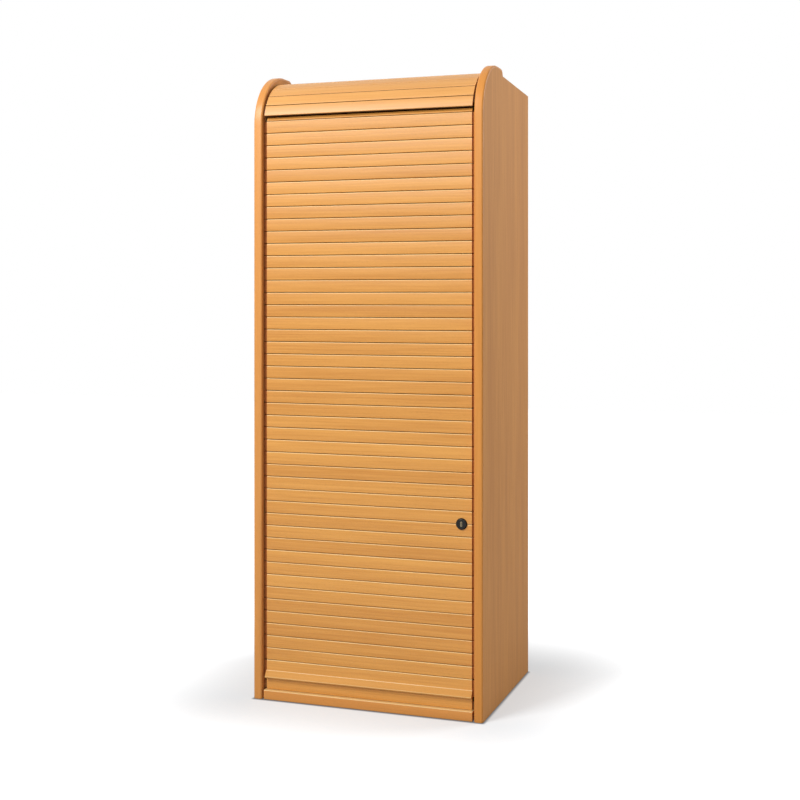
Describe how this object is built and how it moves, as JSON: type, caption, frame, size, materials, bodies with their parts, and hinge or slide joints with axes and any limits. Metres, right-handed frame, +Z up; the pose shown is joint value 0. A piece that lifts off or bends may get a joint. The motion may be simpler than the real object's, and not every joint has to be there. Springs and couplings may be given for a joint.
{
  "type": "tambour door cabinet",
  "caption": "Tall free-standing wooden cabinet with a vertical tambour that slides up behind a rounded slatted hood, a cylinder lock and shelves inside.",
  "frame": {"origin": "centre of the footprint, on the floor", "axes": "+Z up along the height, front towards -Y, +X to the right seen from the front"},
  "size_m": [0.64, 0.49, 1.694],
  "materials": {
    "slat": "satin clear lacquer on honey-coloured straight-grained wood",
    "hood_slat": "satin clear lacquer on honey-coloured straight-grained wood",
    "lipping": "satin clear lacquer, solid wood with rounded edges",
    "board": "satin lacquered veneer with upright grain",
    "inside_board": "satin lacquered veneer",
    "back_board": "thin lacquered board",
    "steel": "zinc-plated steel",
    "lock_black": "satin black",
    "lock_steel": "nickel-plated",
    "glide": "dark moulded plastic"
  },
  "bodies": {
    "cabinet": {"side_left": "board", "side_right": "board", "lipping_left": "lipping", "lipping_right": "lipping", "top_panel": "board", "bottom_panel": "inside_board", "bottom_rail": "lipping", "back_panel": "back_board", "inner_back": "inside_board", "inner_top": "inside_board", "hood_slat_1": "hood_slat", "hood_slat_2": "hood_slat", "hood_slat_3": "hood_slat", "hood_slat_4": "hood_slat", "hood_slat_5": "hood_slat", "hood_slat_6": "hood_slat", "hood_backing": "back_board", "shelf_1": "inside_board", "shelf_2": "inside_board", "shelf_3": "inside_board", "shelf_strip_front_left": "steel", "shelf_strip_back_left": "steel", "shelf_strip_front_right": "steel", "shelf_strip_back_right": "steel", "lock_keeper": "steel", "glide_front_left": "glide", "glide_front_right": "glide", "glide_back_left": "glide", "glide_back_right": "glide"},
    "lead_rail": {"lead_slat": "slat", "lift_lip": "slat"},
    "section_00_01": {"slats_00_01": "slat"},
    "section_02_03": {"slats_02_03": "slat"},
    "section_04_05": {"slats_04_05": "slat"},
    "section_06_07": {"slats_06_07": "slat"},
    "section_08_09": {"slats_08_09": "slat"},
    "section_10_11": {"slats_10_11": "slat"},
    "section_12_13": {"slats_12_13": "slat"},
    "section_14_15": {"slats_14_15": "slat"},
    "section_16_17": {"slats_16_17": "slat"},
    "section_18_19": {"slats_18_19": "slat"},
    "section_20_21": {"slats_20_21": "slat"},
    "section_22_23": {"slats_22_23": "slat"},
    "section_24_25": {"slats_24_25": "slat"},
    "section_26_27": {"slats_26_27": "slat"},
    "section_28_29": {"slats_28_29": "slat"},
    "section_30_31": {"slats_30_31": "slat"},
    "section_32_33": {"slats_32_33": "slat", "lock_rosette": "lock_black", "lock_case": "lock_steel"},
    "section_34_35": {"slats_34_35": "slat"},
    "section_36_37": {"slats_36_37": "slat"},
    "section_38_39": {"slats_38_39": "slat"},
    "section_40_41": {"slats_40_41": "slat"},
    "section_42_43": {"slats_42_43": "slat"},
    "section_44": {"slat_44": "slat"},
    "lock_barrel": {"lock_plug": "lock_black", "lock_cam": "lock_steel", "lock_nut": "lock_steel"}
  },
  "joints": [
    {"name": "tambour_lift", "type": "slide", "parent": "cabinet", "child": "lead_rail", "axis": [0, 0, 1], "range_m": [0, 1.46575]},
    {"name": "lift_00_01", "type": "slide", "parent": "cabinet", "child": "section_00_01", "axis": [0, 0, 1], "range_m": [0, 0.008], "deforming": ["slats_00_01"]},
    {"name": "lift_02_03", "type": "slide", "parent": "cabinet", "child": "section_02_03", "axis": [0, 0, 1], "range_m": [0, 0.05305], "deforming": ["slats_02_03"]},
    {"name": "lift_04_05", "type": "slide", "parent": "cabinet", "child": "section_04_05", "axis": [0, 0, 1], "range_m": [0, 0.11875], "deforming": ["slats_04_05"]},
    {"name": "lift_06_07", "type": "slide", "parent": "cabinet", "child": "section_06_07", "axis": [0, 0, 1], "range_m": [0, 0.18445], "deforming": ["slats_06_07"]},
    {"name": "lift_08_09", "type": "slide", "parent": "cabinet", "child": "section_08_09", "axis": [0, 0, 1], "range_m": [0, 0.25015], "deforming": ["slats_08_09"]},
    {"name": "lift_10_11", "type": "slide", "parent": "cabinet", "child": "section_10_11", "axis": [0, 0, 1], "range_m": [0, 0.31585], "deforming": ["slats_10_11"]},
    {"name": "lift_12_13", "type": "slide", "parent": "cabinet", "child": "section_12_13", "axis": [0, 0, 1], "range_m": [0, 0.38155], "deforming": ["slats_12_13"]},
    {"name": "lift_14_15", "type": "slide", "parent": "cabinet", "child": "section_14_15", "axis": [0, 0, 1], "range_m": [0, 0.44725], "deforming": ["slats_14_15"]},
    {"name": "lift_16_17", "type": "slide", "parent": "cabinet", "child": "section_16_17", "axis": [0, 0, 1], "range_m": [0, 0.51295], "deforming": ["slats_16_17"]},
    {"name": "lift_18_19", "type": "slide", "parent": "cabinet", "child": "section_18_19", "axis": [0, 0, 1], "range_m": [0, 0.57865], "deforming": ["slats_18_19"]},
    {"name": "lift_20_21", "type": "slide", "parent": "cabinet", "child": "section_20_21", "axis": [0, 0, 1], "range_m": [0, 0.64435], "deforming": ["slats_20_21"]},
    {"name": "lift_22_23", "type": "slide", "parent": "cabinet", "child": "section_22_23", "axis": [0, 0, 1], "range_m": [0, 0.71005], "deforming": ["slats_22_23"]},
    {"name": "lift_24_25", "type": "slide", "parent": "cabinet", "child": "section_24_25", "axis": [0, 0, 1], "range_m": [0, 0.77575], "deforming": ["slats_24_25"]},
    {"name": "lift_26_27", "type": "slide", "parent": "cabinet", "child": "section_26_27", "axis": [0, 0, 1], "range_m": [0, 0.84145], "deforming": ["slats_26_27"]},
    {"name": "lift_28_29", "type": "slide", "parent": "cabinet", "child": "section_28_29", "axis": [0, 0, 1], "range_m": [0, 0.90715], "deforming": ["slats_28_29"]},
    {"name": "lift_30_31", "type": "slide", "parent": "cabinet", "child": "section_30_31", "axis": [0, 0, 1], "range_m": [0, 0.97285], "deforming": ["slats_30_31"]},
    {"name": "lift_32_33", "type": "slide", "parent": "cabinet", "child": "section_32_33", "axis": [0, 0.0193, 0.9998], "range_m": [0, 1.08621], "deforming": ["slats_32_33"]},
    {"name": "lift_34_35", "type": "slide", "parent": "cabinet", "child": "section_34_35", "axis": [0, 0, 1], "range_m": [0, 1.10455], "deforming": ["slats_34_35"]},
    {"name": "lift_36_37", "type": "slide", "parent": "cabinet", "child": "section_36_37", "axis": [0, 0, 1], "range_m": [0, 1.17025], "deforming": ["slats_36_37"]},
    {"name": "lift_38_39", "type": "slide", "parent": "cabinet", "child": "section_38_39", "axis": [0, 0, 1], "range_m": [0, 1.23595], "deforming": ["slats_38_39"]},
    {"name": "lift_40_41", "type": "slide", "parent": "cabinet", "child": "section_40_41", "axis": [0, 0, 1], "range_m": [0, 1.30165], "deforming": ["slats_40_41"]},
    {"name": "lift_42_43", "type": "slide", "parent": "cabinet", "child": "section_42_43", "axis": [0, 0, 1], "range_m": [0, 1.36735], "deforming": ["slats_42_43"]},
    {"name": "lift_44", "type": "slide", "parent": "cabinet", "child": "section_44", "axis": [0, 0, 1], "range_m": [0, 1.43305], "deforming": ["slat_44"]},
    {"name": "lock_turn", "type": "hinge", "parent": "section_32_33", "child": "lock_barrel", "pos_m": [0.26, -0.23125, 0.5015], "axis": [0, -1, 0], "range_deg": [0, 90]}
  ],
  "couplings": [
    {"joint": "lift_00_01", "follows": "tambour_lift", "ratio": 0.005458},
    {"joint": "lift_02_03", "follows": "tambour_lift", "ratio": 0.036193},
    {"joint": "lift_04_05", "follows": "tambour_lift", "ratio": 0.081017},
    {"joint": "lift_06_07", "follows": "tambour_lift", "ratio": 0.12584},
    {"joint": "lift_08_09", "follows": "tambour_lift", "ratio": 0.17066},
    {"joint": "lift_10_11", "follows": "tambour_lift", "ratio": 0.21549},
    {"joint": "lift_12_13", "follows": "tambour_lift", "ratio": 0.26031},
    {"joint": "lift_14_15", "follows": "tambour_lift", "ratio": 0.30513},
    {"joint": "lift_16_17", "follows": "tambour_lift", "ratio": 0.34996},
    {"joint": "lift_18_19", "follows": "tambour_lift", "ratio": 0.39478},
    {"joint": "lift_20_21", "follows": "tambour_lift", "ratio": 0.4396},
    {"joint": "lift_22_23", "follows": "tambour_lift", "ratio": 0.48443},
    {"joint": "lift_24_25", "follows": "tambour_lift", "ratio": 0.52925},
    {"joint": "lift_26_27", "follows": "tambour_lift", "ratio": 0.57407},
    {"joint": "lift_28_29", "follows": "tambour_lift", "ratio": 0.6189},
    {"joint": "lift_30_31", "follows": "tambour_lift", "ratio": 0.66372},
    {"joint": "lift_32_33", "follows": "tambour_lift", "ratio": 0.74106},
    {"joint": "lift_34_35", "follows": "tambour_lift", "ratio": 0.75357},
    {"joint": "lift_36_37", "follows": "tambour_lift", "ratio": 0.7984},
    {"joint": "lift_38_39", "follows": "tambour_lift", "ratio": 0.84322},
    {"joint": "lift_40_41", "follows": "tambour_lift", "ratio": 0.88804},
    {"joint": "lift_42_43", "follows": "tambour_lift", "ratio": 0.93287},
    {"joint": "lift_44", "follows": "tambour_lift", "ratio": 0.97769}
  ]
}
